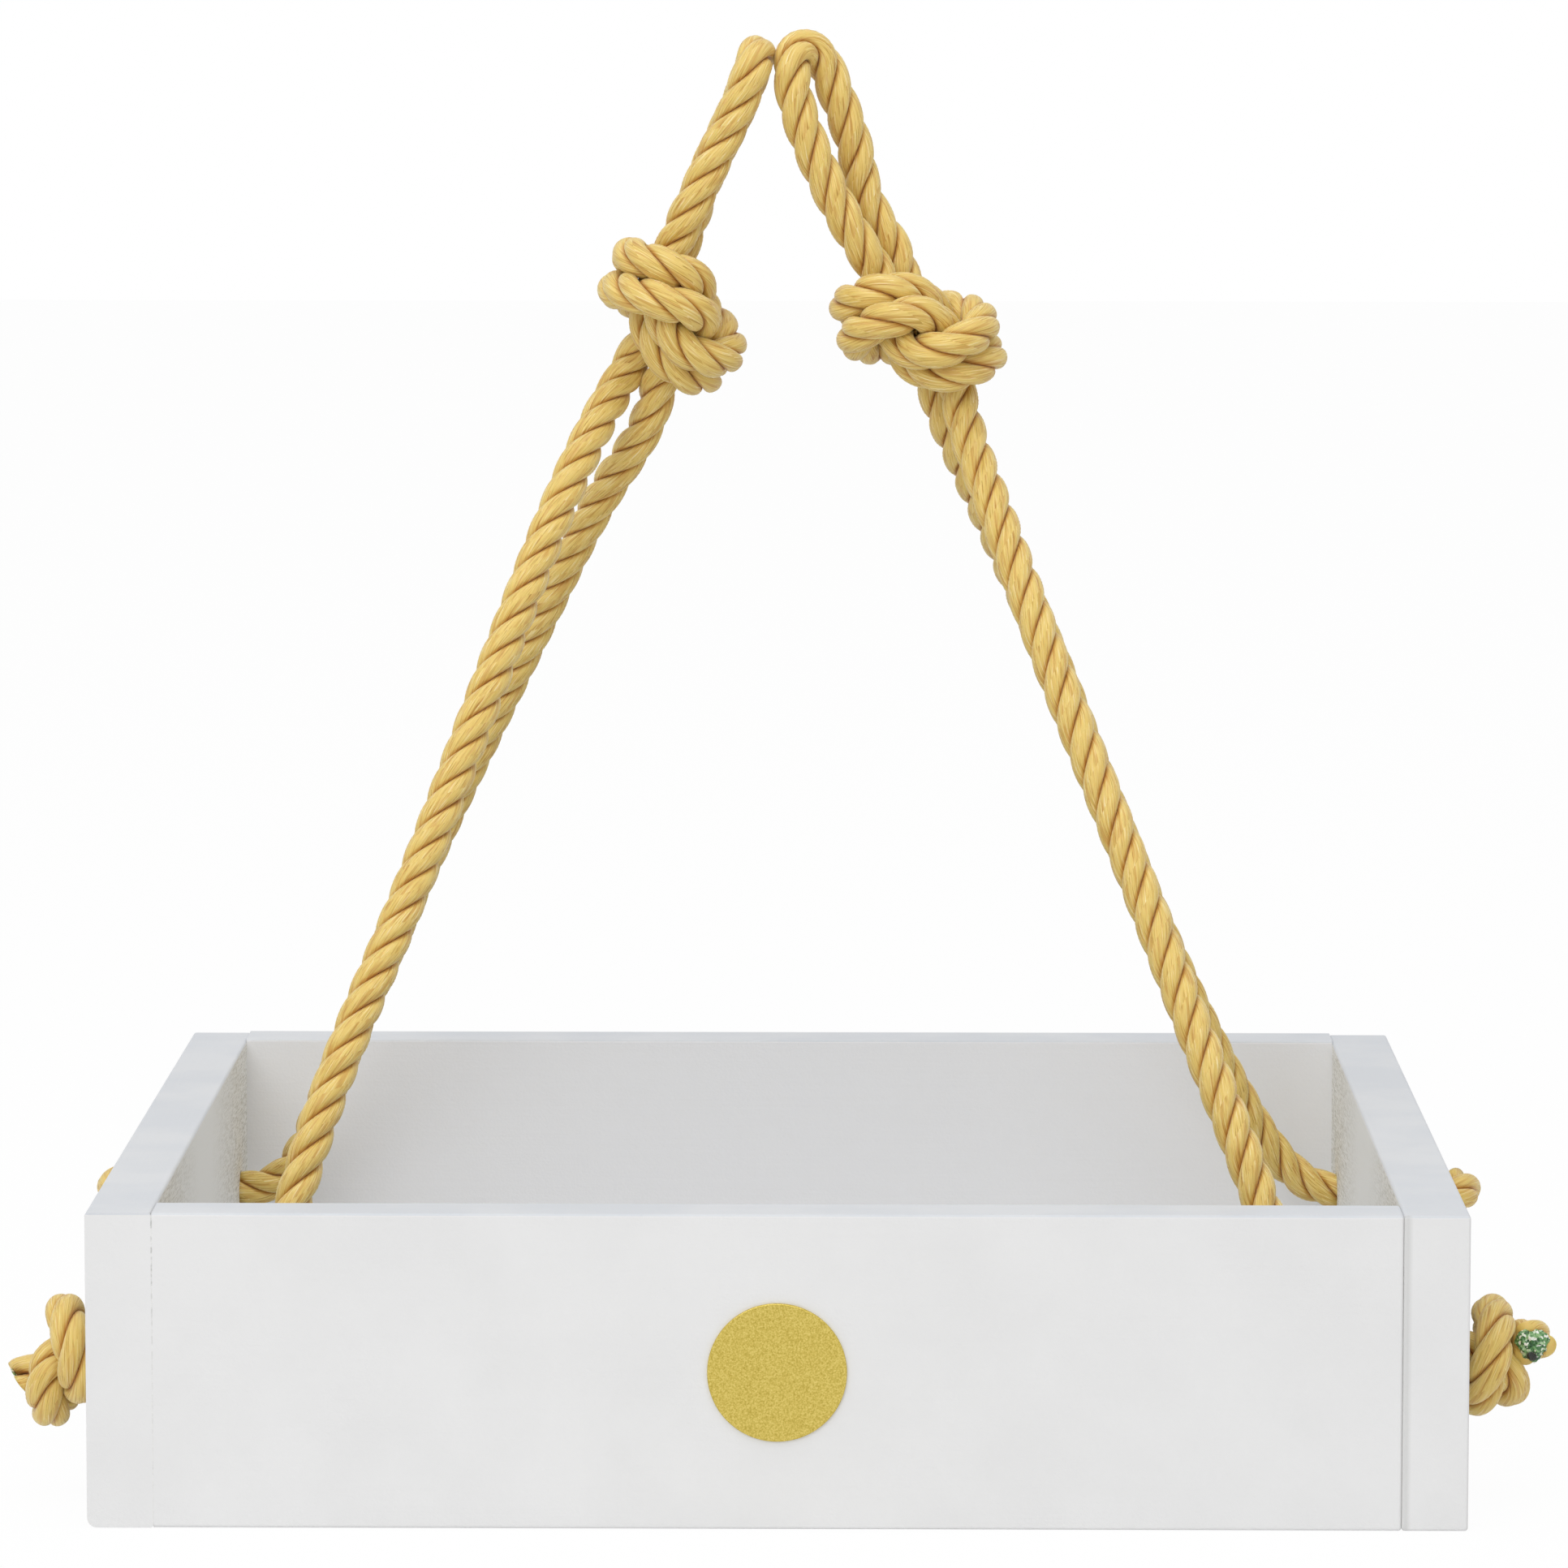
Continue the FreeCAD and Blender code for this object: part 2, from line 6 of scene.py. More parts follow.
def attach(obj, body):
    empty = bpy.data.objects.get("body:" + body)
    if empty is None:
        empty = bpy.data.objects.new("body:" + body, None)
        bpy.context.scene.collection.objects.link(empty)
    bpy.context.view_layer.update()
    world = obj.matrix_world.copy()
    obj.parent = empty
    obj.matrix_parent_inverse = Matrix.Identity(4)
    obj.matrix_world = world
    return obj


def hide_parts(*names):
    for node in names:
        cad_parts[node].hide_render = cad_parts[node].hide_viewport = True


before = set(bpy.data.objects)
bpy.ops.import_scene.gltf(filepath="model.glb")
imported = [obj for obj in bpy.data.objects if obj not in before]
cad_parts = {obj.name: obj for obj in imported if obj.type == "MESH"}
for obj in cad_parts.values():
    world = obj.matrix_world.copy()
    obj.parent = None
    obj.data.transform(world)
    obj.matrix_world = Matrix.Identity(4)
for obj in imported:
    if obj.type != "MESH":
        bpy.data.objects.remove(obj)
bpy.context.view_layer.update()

# Tray boards
# Four boards of recycled polyethylene, extruded as solid planks and sawn to length. The skin
# from the die is matte white with faint lines along the plank. Seed and rain leave grey-brown
# streaks round the rope holes, and screws draw the corner joints up.


def to_linear(hex_colour):
    """An sRGB hex colour as linear red, green, blue and an alpha of 1."""
    parts = np.array([int(hex_colour[i:i + 2], 16) for i in (1, 3, 5)]) / 255.0
    linear = np.where(parts <= 0.04045, parts / 12.92, ((parts + 0.055) / 1.055) ** 2.4)
    return (*linear.tolist(), 1.0)


def add_node(tree, kind, settings=None, links=None):
    """Adds a node. Settings are properties or input values, and links are input to output.

    A node given as the output stands for the first of its outputs.
    """
    node = tree.nodes.new(kind)
    for name, value in (settings or {}).items():
        if isinstance(name, int) or name in node.inputs:
            node.inputs[name].default_value = value
        else:
            setattr(node, name, value)
    for name, source in (links or {}).items():
        if isinstance(source, bpy.types.Node):
            source = source.outputs[0]
        tree.links.new(source, node.inputs[name])
    return node


def new_material(name, **settings):
    """A material with one Principled shader, its tree and that shader."""
    material = bpy.data.materials.new(name)
    material.use_nodes = True
    tree = material.node_tree
    shader = tree.nodes["Principled BSDF"]
    for key, value in settings.items():
        shader.inputs[key.replace("_", " ")].default_value = value
    return material, tree, shader


def set_ramp(node, stops):
    """Colours a ramp with pairs of place and hex colour."""
    ramp = node.color_ramp
    while len(ramp.elements) > 2:
        ramp.elements.remove(ramp.elements[-1])
    while len(ramp.elements) < len(stops):
        ramp.elements.new(0.5)
    for element, (place, colour) in zip(ramp.elements, stops):
        element.position = place
        element.color = to_linear(colour)


# Places on the tray, from its middle: the joints, a rope hole, a level just under the upper
# edges, one just behind the front face and one just before the front board's inner face.
SEAM_PLACE = 0.1492
GROOVE_PLACE = 0.15
HOLE_PLACE = (0.1492, 0.1143, 0.0381)
TOP_LEVEL = 0.0757
FRONT_LEVEL = -0.1515
FRONT_BOARD_BACK = -0.1366


def plank_plastic(name, plank_scale, streak_scale, wall_axis, wall_reach, wall_colour, dust):
    """Extruded plank: long faint die lines, tops clouded with painted shade, and grime where seed
    and rain lie.

    plank_scale holds the noise scale along X, Y and Z in cycles a metre: low along the
    plank, high across it, so the pattern draws out into lines about 1.4 mm apart, and
    streak_scale does the same for streaks of dirt 0.3 mm high. Surfaces nearer the middle
    of the tray than wall_reach along wall_axis are inner walls and have wall_colour, a colour
    lighter than the skin that is painted light against their shade, and dust is how dirty
    they are round the rope holes.
    """
    material, tree, shader = new_material(name, Roughness=0.6, IOR=1.52)
    shader.inputs["Specular IOR Level"].default_value = 0.35
    place = add_node(tree, "ShaderNodeTexCoord").outputs["Object"]
    axes = add_node(tree, "ShaderNodeSeparateXYZ", links={"Vector": place}).outputs
    folded = add_node(tree, "ShaderNodeVectorMath", {"operation": "ABSOLUTE"}, {0: place})
    folded_axes = add_node(tree, "ShaderNodeSeparateXYZ", links={"Vector": folded}).outputs
    stretched = add_node(tree, "ShaderNodeMapping", {"Scale": plank_scale}, {"Vector": place})
    drawn_out = add_node(tree, "ShaderNodeMapping", {"Scale": streak_scale}, {"Vector": place})
    # Clouds are about 30 mm across, grains of the skin 0.7 mm, and the specks that break up the
    # painted shade in the left joint 1 mm.
    lines, clouds, grains, streaks, specks = (
        add_node(tree, "ShaderNodeTexNoise", {"Scale": scale, "Detail": detail}, {"Vector": vector})
        for vector, scale, detail in (
            (stretched, 1.0, 3.0), (place, 34.0, 5.0), (place, 1500.0, 2.0),
            (drawn_out, 1.0, 2.0), (place, 900.0, 3.0)))
    # The plain skin is a neutral white. The eye sees clouds only on the tops, where they are
    # painted bluish shade.
    cloudy = add_node(tree, "ShaderNodeMapRange", {"From Min": 0.4, "From Max": 0.65},
                      {"Value": clouds})
    skin = add_node(tree, "ShaderNodeMix",
                    {"data_type": "RGBA", "A": to_linear("#E4E4E4"), "B": to_linear("#E1E1E1")},
                    {"Factor": cloudy})
    on_top = add_node(tree, "ShaderNodeMath", {"operation": "GREATER_THAN", 1: TOP_LEVEL},
                      {0: axes["Z"]})
    clouded = add_node(tree, "ShaderNodeMapRange",
                       {"From Min": 0.38, "From Max": 0.6, "To Min": 0.6, "To Max": 0.85},
                       {"Value": clouds})
    painted_top_shade = add_node(tree, "ShaderNodeMath", {"operation": "MULTIPLY"}, {0: on_top, 1: clouded})
    # Inner walls are painted lighter than the skin, as painted light against their shade: a little
    # warm on the side planks and a little bluish on the end ones. Those of the side planks have
    # brown-grey streaks of dirt that are thickest round the rope holes.
    on_wall = add_node(tree, "ShaderNodeMath", {"operation": "LESS_THAN", 1: wall_reach},
                       {0: folded_axes[wall_axis]})
    hole = add_node(tree, "ShaderNodeVectorMath", {"operation": "DISTANCE", 1: HOLE_PLACE},
                    {0: folded})
    near_hole = add_node(tree, "ShaderNodeMapRange",
                         {"From Min": 0.015, "From Max": 0.1, "To Min": 0.65, "To Max": 0.0},
                         {"Value": hole.outputs["Value"]})
    in_streak = add_node(tree, "ShaderNodeMapRange", {"From Min": 0.42, "From Max": 0.66},
                         {"Value": streaks})
    streaky = add_node(tree, "ShaderNodeMath", {"operation": "MULTIPLY"},
                       {0: in_streak, 1: near_hole})
    dusty = add_node(tree, "ShaderNodeMath", {"operation": "MULTIPLY", 1: dust}, {0: on_wall})
    streaky = add_node(tree, "ShaderNodeMath", {"operation": "MULTIPLY"}, {0: streaky, 1: dusty})
    # A broken grey hairline of painted shade lies in the left joint, clearest in its upper third.
    off_seam = add_node(tree, "ShaderNodeMath", {"operation": "ADD", 1: SEAM_PLACE}, {0: axes["X"]})
    off_seam = add_node(tree, "ShaderNodeMath", {"operation": "ABSOLUTE"}, {0: off_seam})
    hairline = add_node(tree, "ShaderNodeMapRange",
                        {"From Min": 0.00004, "From Max": 0.00028, "To Min": 1.0, "To Max": 0.0},
                        {"Value": off_seam})
    in_board = add_node(tree, "ShaderNodeMath", {"operation": "LESS_THAN", 1: FRONT_BOARD_BACK},
                        {0: axes["Y"]})
    joint = add_node(tree, "ShaderNodeMath", {"operation": "MULTIPLY"}, {0: hairline, 1: in_board})
    in_speck = add_node(tree, "ShaderNodeMapRange", {"From Min": 0.4, "From Max": 0.6},
                        {"Value": specks})
    upper_part = add_node(tree, "ShaderNodeMapRange",
                          {"From Min": 0.04, "From Max": 0.072, "To Min": 0.15, "To Max": 0.7},
                          {"Value": axes["Z"]})
    broken = add_node(tree, "ShaderNodeMath", {"operation": "MULTIPLY"},
                      {0: in_speck, 1: upper_part})
    painted_joint_shade = add_node(tree, "ShaderNodeMath", {"operation": "MULTIPLY"}, {0: joint, 1: broken})
    # The right joint is a shallow rounded groove, and a soft grey band of painted shade lies
    # along it.
    off_groove = add_node(tree, "ShaderNodeMath", {"operation": "SUBTRACT", 1: GROOVE_PLACE},
                          {0: axes["X"]})
    off_groove = add_node(tree, "ShaderNodeMath", {"operation": "ABSOLUTE"}, {0: off_groove})
    painted_groove_band = add_node(tree, "ShaderNodeMapRange",
                         {"From Min": 0.0003, "From Max": 0.0014, "To Min": 0.55, "To Max": 0.0},
                         {"Value": off_groove})
    in_front = add_node(tree, "ShaderNodeMath", {"operation": "LESS_THAN", 1: FRONT_LEVEL},
                        {0: axes["Y"]})
    groove = add_node(tree, "ShaderNodeMath", {"operation": "MULTIPLY"},
                      {0: painted_groove_band, 1: in_front})
    colour = skin.outputs["Result"]
    # Layers in turn: painted bluish shade on the tops, painted light on the inner walls, streaks of
    # dirt, painted shade in the left joint and painted shade along the right groove.
    for tint, factor in (("#CDD1D7", painted_top_shade), (wall_colour, on_wall), ("#9C9885", streaky),
                         ("#9A9A97", painted_joint_shade), ("#C4C4C2", groove)):
        layer = add_node(tree, "ShaderNodeMix", {"data_type": "RGBA", "B": to_linear(tint)},
                         {"Factor": factor, "A": colour})
        colour = layer.outputs["Result"]
    tree.links.new(colour, shader.inputs["Base Color"])
    relief = add_node(tree, "ShaderNodeMath", {"operation": "ADD"}, {0: lines, 1: grains})
    bump = add_node(tree, "ShaderNodeBump", {"Strength": 0.3, "Distance": 0.0002},
                    {"Height": relief})
    tree.links.new(bump.outputs["Normal"], shader.inputs["Normal"])
    return material


# The inner-wall colours are painted light: lighter than the skin, warm for the side planks and
# bluish for the end planks.
side_plank = plank_plastic("extruded_white_polyethylene_side", (700.0, 25.0, 700.0),
                           (3000.0, 220.0, 3000.0), "X", 0.14925, "#EEEEEA", 1.0)
end_plank = plank_plastic("extruded_white_polyethylene_end", (25.0, 700.0, 700.0),
                          (220.0, 3000.0, 3000.0), "Y", 0.13655, "#EAEBED", 0.0)
BOARD_FINISHES = {
    "left_side_board": side_plank,
    "right_side_board": side_plank,
    "front_board": end_plank,
    "back_board": end_plank,
    "front_cleat": end_plank,
    "back_cleat": end_plank,
}


def finish_node(name, material):
    """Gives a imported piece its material."""
    piece = bpy.data.objects[name]
    piece.data.materials.clear()
    piece.data.materials.append(material)


for node_name, finish in BOARD_FINISHES.items():
    finish_node(node_name, finish)


# Badge
# A thin brass-coloured disc, stamped from foil-faced sheet and stuck to the front board.
# Its face has a fine satin grain.

badge_gold, tree, shader = new_material("satin_gold_foil", Metallic=0.75, Roughness=0.42)
place = add_node(tree, "ShaderNodeTexCoord").outputs["Object"]
# The grain is about 0.2 mm across, drawn at 0.4 mm so that it shows.
grain = add_node(tree, "ShaderNodeTexNoise", {"Scale": 2600.0, "Detail": 3.0}, {"Vector": place})
face_tone = add_node(tree, "ShaderNodeValToRGB", links={"Fac": grain})
set_ramp(face_tone, [(0.3, "#B59E42"), (0.5, "#CDB75B"), (0.7, "#DECA73")])
tree.links.new(face_tone.outputs["Color"], shader.inputs["Base Color"])
rough = add_node(tree, "ShaderNodeMapRange", {"To Min": 0.34, "To Max": 0.58}, {"Value": grain})
tree.links.new(rough.outputs["Result"], shader.inputs["Roughness"])
bump = add_node(tree, "ShaderNodeBump", {"Strength": 0.3, "Distance": 0.0001}, {"Height": grain})
tree.links.new(bump.outputs["Normal"], shader.inputs["Normal"])
finish_node("badge", badge_gold)


# Floor sheet
# One sheet of perforated aluminium, punched and left with its mill finish. It lies loose on
# the cleats, and dust and husks dull it.

mill_aluminium, tree, shader = new_material("mill_finish_aluminium", Metallic=1.0)
place = add_node(tree, "ShaderNodeTexCoord").outputs["Object"]
rolled = add_node(tree, "ShaderNodeMapping", {"Scale": (20.0, 1500.0, 20.0)}, {"Vector": place})
# Rolling leaves lines about 0.7 mm apart along the sheet, and the eye sees pale grey metal.
rolling_lines = add_node(tree, "ShaderNodeTexNoise", {"Scale": 1.0, "Detail": 4.0},
                         {"Vector": rolled})
dust = add_node(tree, "ShaderNodeTexNoise", {"Scale": 45.0, "Detail": 5.0}, {"Vector": place})
metal_tone = add_node(tree, "ShaderNodeValToRGB", links={"Fac": rolling_lines})
set_ramp(metal_tone, [(0.25, "#BFC0C2"), (0.75, "#D6D6D8")])
tree.links.new(metal_tone.outputs["Color"], shader.inputs["Base Color"])
rough = add_node(tree, "ShaderNodeMapRange", {"To Min": 0.36, "To Max": 0.62}, {"Value": dust})
tree.links.new(rough.outputs["Result"], shader.inputs["Roughness"])
finish_node("floor_screen", mill_aluminium)


# Screws
# Flat-head stainless wood screws, cold-headed, with a cross recess and a rolled thread.
# Eight hold the corners and six hold the cleats.

screw_steel, tree, shader = new_material("bright_stainless_steel", Metallic=1.0, Roughness=0.28)
place = add_node(tree, "ShaderNodeTexCoord").outputs["Object"]
# Cold heading leaves the bright steel with faint grey marks about 1 mm across.
marks = add_node(tree, "ShaderNodeTexNoise", {"Scale": 900.0, "Detail": 3.0}, {"Vector": place})
steel_tone = add_node(tree, "ShaderNodeValToRGB", links={"Fac": marks})
set_ramp(steel_tone, [(0.3, "#A9AAAB"), (0.7, "#CFCFCE")])
tree.links.new(steel_tone.outputs["Color"], shader.inputs["Base Color"])

HEAD_RADIUS = 0.004
SHANK_RADIUS = 0.0021
HEAD_DEPTH = 0.0032
POINT_LENGTH = 0.005
TIP_RADIUS = 0.00005
THREAD_PITCH = 0.0018
THREAD_DEPTH = 0.0004
THREAD_RUN_OUT = 0.002
RIDGE_HALF_SHARE = 0.22
SLOT_HALF_WIDTH = 0.00055
SLOT_REACH = 0.0023
SLOT_DEPTH = 0.0016
SLOT_SIDE_SLOPE = 0.0002
SLOT_END_SLOPE = 0.0004
FACE_ROWS = 12
CONE_ROWS = 5
BODY_ROWS = 90
POINT_ROWS = 12
SCREW_COLUMNS = 40


def grid_faces(rows, columns):
    """Quads of a grid whose columns close round, with outward faces for rising rows."""
    row, column = np.meshgrid(np.arange(rows - 1), np.arange(columns), indexing="ij")
    following = (column + 1) % columns
    quads = np.stack([row * columns + column, row * columns + following,
                      (row + 1) * columns + following, (row + 1) * columns + column], axis=-1)
    return quads.reshape(-1, 4)


def new_piece(name, points, faces, material, smooth=True):
    """A mesh object at the origin from an array of points and a list of faces."""
    mesh = bpy.data.meshes.new(name)
    mesh.from_pydata(points.tolist(), [], faces)
    mesh.polygons.foreach_set("use_smooth", np.full(len(mesh.polygons), smooth))
    mesh.materials.append(material)
    piece = bpy.data.objects.new(name, mesh)
    bpy.context.scene.collection.objects.link(piece)
    return piece


def screw_surface(length):
    """Points of one screw about +Z, its head's face at z = 0 and its point at z = length.

    A profile of radius and depth turns about the axis. On the thread the radius gains a
    ridge that follows angle / turn - depth / pitch, and on the head's face the depth gains
    a cross: the smaller of |x| and |y| under the slot's half width sinks the face.
    """
    angle = np.linspace(0.0, 2.0 * np.pi, SCREW_COLUMNS, endpoint=False)
    face = np.stack([np.linspace(0.0, 1.0, FACE_ROWS) * HEAD_RADIUS, np.zeros(FACE_ROWS)], axis=1)
    cone = np.stack([np.linspace(HEAD_RADIUS, SHANK_RADIUS, CONE_ROWS)[1:],
                     np.linspace(0.0, HEAD_DEPTH, CONE_ROWS)[1:]], axis=1)
    body_end = length - POINT_LENGTH
    body = np.stack([np.full(BODY_ROWS, SHANK_RADIUS),
                     np.linspace(HEAD_DEPTH, body_end, BODY_ROWS + 1)[1:]], axis=1)
    point = np.stack([np.linspace(SHANK_RADIUS, TIP_RADIUS, POINT_ROWS)[1:],
                      np.linspace(body_end, length, POINT_ROWS)[1:]], axis=1)
    profile = np.concatenate([face, cone, body, point])
    radius = np.repeat(profile[:, :1], SCREW_COLUMNS, axis=1)
    depth = np.repeat(profile[:, 1:], SCREW_COLUMNS, axis=1)
    wave = np.mod(angle[None, :] / (2.0 * np.pi) - depth / THREAD_PITCH, 1.0)
    ridge = np.clip(1.0 - np.abs(wave - 0.5) / RIDGE_HALF_SHARE, 0.0, 1.0)
    threaded = np.clip((depth - HEAD_DEPTH) / THREAD_RUN_OUT, 0.0, 1.0)
    radius = radius - threaded * THREAD_DEPTH * (1.0 - ridge) * radius / SHANK_RADIUS
    x = radius * np.cos(angle)
    y = radius * np.sin(angle)
    narrow = np.minimum(np.abs(x), np.abs(y))
    reach = np.maximum(np.abs(x), np.abs(y))
    slot = (np.clip((SLOT_HALF_WIDTH - narrow) / SLOT_SIDE_SLOPE, 0.0, 1.0)
            * np.clip((SLOT_REACH - reach) / SLOT_END_SLOPE, 0.0, 1.0))
    on_face = (np.arange(len(profile)) < FACE_ROWS)[:, None]
    depth = depth + np.where(on_face, slot * SLOT_DEPTH, 0.0)
    return np.stack([x, y, depth], axis=-1)


def screw_piece(name, length, spots, heading):
    """All the screws of one joint, headed along a row axis, as one piece."""
    surface = screw_surface(length)
    turn = np.array(Vector((0, 0, 1)).rotation_difference(Vector(heading)).to_matrix())
    single = surface.reshape(-1, 3) @ turn.T
    faces = grid_faces(len(surface), SCREW_COLUMNS)[:, ::-1]
    points = np.concatenate([single + np.array(spot) for spot in spots])
    quads = np.concatenate([faces + index * len(single) for index in range(len(spots))])
    piece = new_piece(name, points, quads.tolist(), screw_steel)
    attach(piece, "root")
    return piece


HALF_WIDTH = 0.1651
HALF_DEPTH = 0.1524
BOARD_THICKNESS = 0.0159
CLEAT_SIZE = 0.0127
MIDDLE_HEIGHT = 0.0381
CORNER_SPREAD = 0.022
CORNER_SCREW_LENGTH = 0.041
CLEAT_SCREW_LENGTH = 0.022
CLEAT_SCREW_SPACING = 0.11
for end_name, end in (("front", -1.0), ("back", 1.0)):
    for side_name, side in (("left", -1.0), ("right", 1.0)):
        board_middle = end * (HALF_DEPTH - BOARD_THICKNESS / 2.0)
        heads = [(side * HALF_WIDTH, board_middle, MIDDLE_HEIGHT + step)
                 for step in (-CORNER_SPREAD, CORNER_SPREAD)]
        corner = screw_piece(f"{end_name}_{side_name}_deck_screws", CORNER_SCREW_LENGTH,
                             heads, (-side, 0, 0))
        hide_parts(f"{end_name}_{side_name}_corner_screws")
    cleat_face = end * (HALF_DEPTH - BOARD_THICKNESS - CLEAT_SIZE)
    heads = [(step * CLEAT_SCREW_SPACING, cleat_face, CLEAT_SIZE / 2.0) for step in (-1, 0, 1)]
    strip = screw_piece(f"{end_name}_strip_screws", CLEAT_SCREW_LENGTH, heads, (0, end, 0))
    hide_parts(f"{end_name}_cleat_screws")


# Ropes
# Three-strand polypropylene rope of nominal 9.5 mm, laid right-handed from yellow filaments,
# so each strand crosses the rope like the middle of a Z while its fibres run along the rope.
# Each rope is one length: stopper knot, leg, loop knot, eye, loop knot, leg, stopper knot.

# Knot points are in pitches of rope, with the first axis along the rope. The stopper's points
# and all but the last of the loop's are the answer of a scratch program that drew an overhand
# knot tight, rounded to a twentieth of a pitch. The loop's last point and the tails were set
# one by one. Legs and eyes are in metres.
KNOT_PITCH = 0.009
STOPPER_HALF = [
    (-0.55, -0.2, 0.45),
    (0.5, 0.55, 0.55),
    (0.5, 1.3, -0.6),
    (0.3, 0.5, -1.65),
    (0.0, -0.8, -1.3),
]
STOPPER_MIDDLE = (0.0, -1.05, 0.0)
TURNED_TAIL = [(1.15, -0.44, 0.0), (1.0, -0.35, 0.8)]
DROPPED_TAIL = [(1.25, 0.23, -0.83)]
LOOP_PASS = [
    (-1.5, 0.1, 1.15),
    (-0.25, 0.65, 0.95),
    (0.6, 1.7, 0.3),
    (0.4, 2.25, -0.85),
    (-0.15, 1.5, -1.8),
    (-0.5, 0.1, -1.7),
    (-0.6, -1.1, -0.9),
    (-0.45, -1.55, 0.6),
    (-0.4, -0.65, 1.65),
    (-0.6, 0.75, 2.2),
    (-1.15, 1.65, 1.15),
    (-1.1, 0.85, -0.05),
    (-0.25, -0.15, -0.6),
    (0.95, -0.5, -0.35),
    (2.2, -0.65, -0.75),
]


def half_turn(points):
    """The same points after a half turn about the second axis, in the other order."""
    return [(-x, y, -z) for x, y, z in reversed(points)]


def placed(points, centre, first, second, hand=1):
    """Knot points carried from the knot's own frame to the feeder's, mirrored for hand -1."""
    first = np.array(first, float) / np.linalg.norm(first)
    second = np.array(second, float) - first * np.dot(first, second)
    second = second / np.linalg.norm(second)
    axes = np.array([first, second, np.cross(first, second) * hand])
    return np.array(centre) + np.array(points) @ axes * KNOT_PITCH


STOPPER = STOPPER_HALF + [STOPPER_MIDDLE] + half_turn(STOPPER_HALF)
TURNED_STOPPER = STOPPER + TURNED_TAIL
DROPPED_STOPPER = STOPPER + DROPPED_TAIL
LEFT_FRONT_STOPPER = ((-0.174, -0.1127, 0.034), (-1, 0, 0), (0, -1, -1))
LEFT_BACK_STOPPER = ((-0.174, 0.11025, 0.0359), (-1, 0, 0), (0, 0, -1), -1)
RIGHT_FRONT_STOPPER = ((0.174, -0.11025, 0.0359), (1, 0, 0), (0, 0, -1), -1)
RIGHT_BACK_STOPPER = ((0.174, 0.11025, 0.0359), (1, 0, 0), (0, 0, -1))
LEFT_LOOP_KNOT = ((-0.03, 0.0, 0.285), (0.64, 0.0, 0.77), (0.38, -0.87, -0.32))
RIGHT_LOOP_KNOT = ((0.034, 0.0, 0.279), (0.05, 0.0, 1.0), (0.0, -1.0, 0.0))
LEFT_PASSES = (half_turn(LOOP_PASS), LOOP_PASS)
RIGHT_PASSES = (LOOP_PASS, half_turn(LOOP_PASS))
LEFT_FRONT_LEG = [
    (-0.146, -0.1143, 0.0381), (-0.133, -0.1143, 0.039), (-0.123, -0.1105, 0.052),
    (-0.118, -0.1015, 0.075), (-0.1075, -0.0865, 0.106), (-0.0925, -0.0665, 0.141),
    (-0.071, -0.037, 0.199), (-0.0575, -0.017, 0.2345), (-0.0475, -0.003, 0.256),
]
LEFT_BACK_LEG = [
    (-0.146, 0.1143, 0.0381), (-0.1345, 0.1135, 0.0435), (-0.125, 0.106, 0.066),
    (-0.1105, 0.088, 0.101), (-0.092, 0.0635, 0.144), (-0.0655, 0.0365, 0.199),
    (-0.049, 0.0195, 0.233), (-0.0345, 0.0105, 0.254),
]
RIGHT_FRONT_LEG = [
    (0.146, -0.1143, 0.0381), (0.133, -0.1143, 0.039), (0.1235, -0.11, 0.055),
    (0.115, -0.1, 0.079), (0.1015, -0.081, 0.112), (0.0863, -0.0605, 0.151),
    (0.0678, -0.0395, 0.196), (0.0546, -0.02, 0.2315), (0.047, -0.008, 0.251),
]
RIGHT_BACK_LEG = [
    (0.146, 0.1143, 0.0381), (0.1335, 0.113, 0.0465), (0.1195, 0.104, 0.07),
    (0.1035, 0.0875, 0.104), (0.0865, 0.065, 0.146), (0.0685, 0.04, 0.194),
    (0.053, 0.023, 0.229), (0.0445, 0.011, 0.248),
]
LEFT_EYE = [
    (-0.023, -0.0085, 0.3115), (-0.017, -0.008, 0.3245), (-0.011, -0.0075, 0.337),
    (-0.007, -0.0068, 0.3488), (-0.007, 0.0068, 0.3488), (-0.011, 0.008, 0.337),
    (-0.0168, 0.0085, 0.3255), (-0.0215, 0.0065, 0.315),
]
RIGHT_EYE = [
    (0.0202, 0.006, 0.3115), (0.0182, 0.0055, 0.3245), (0.0135, 0.004, 0.338),
    (0.0086, 0.0032, 0.3505), (0.0012, -0.0028, 0.35), (0.0026, -0.0045, 0.336),
    (0.0095, -0.005, 0.3185), (0.017, -0.005, 0.304),
]


def rope_route(front, front_leg, passes, knot, eye, back_leg, back):
    """All points of one rope, from its front end to its back end."""
    rising, falling = (placed(one_pass, *knot) for one_pass in passes)
    return np.concatenate([
        front[::-1], np.array(front_leg), rising, np.array(eye), falling[::-1],
        np.array(back_leg)[::-1], back,
    ])


def spline_line(route):
    """The smooth line through a route: a NURBS spline with the route as its control points."""
    curve = bpy.data.curves.new("rope_line", "CURVE")
    curve.dimensions = "3D"
    curve.resolution_u = 16
    spline = curve.splines.new("NURBS")
    spline.points.add(len(route) - 1)
    spline.points.foreach_set("co", np.c_[route, np.ones(len(route))].ravel())
    spline.order_u = 3
    spline.use_endpoint_u = True
    holder = bpy.data.objects.new("rope_line", curve)
    bpy.context.scene.collection.objects.link(holder)
    bpy.context.view_layer.update()
    evaluated = holder.evaluated_get(bpy.context.evaluated_depsgraph_get())
    mesh = bpy.data.meshes.new_from_object(evaluated)
    line = np.empty(len(mesh.vertices) * 3)
    mesh.vertices.foreach_get("co", line)
    bpy.data.objects.remove(holder)
    bpy.data.curves.remove(curve)
    bpy.data.meshes.remove(mesh)
    return line.reshape(-1, 3)


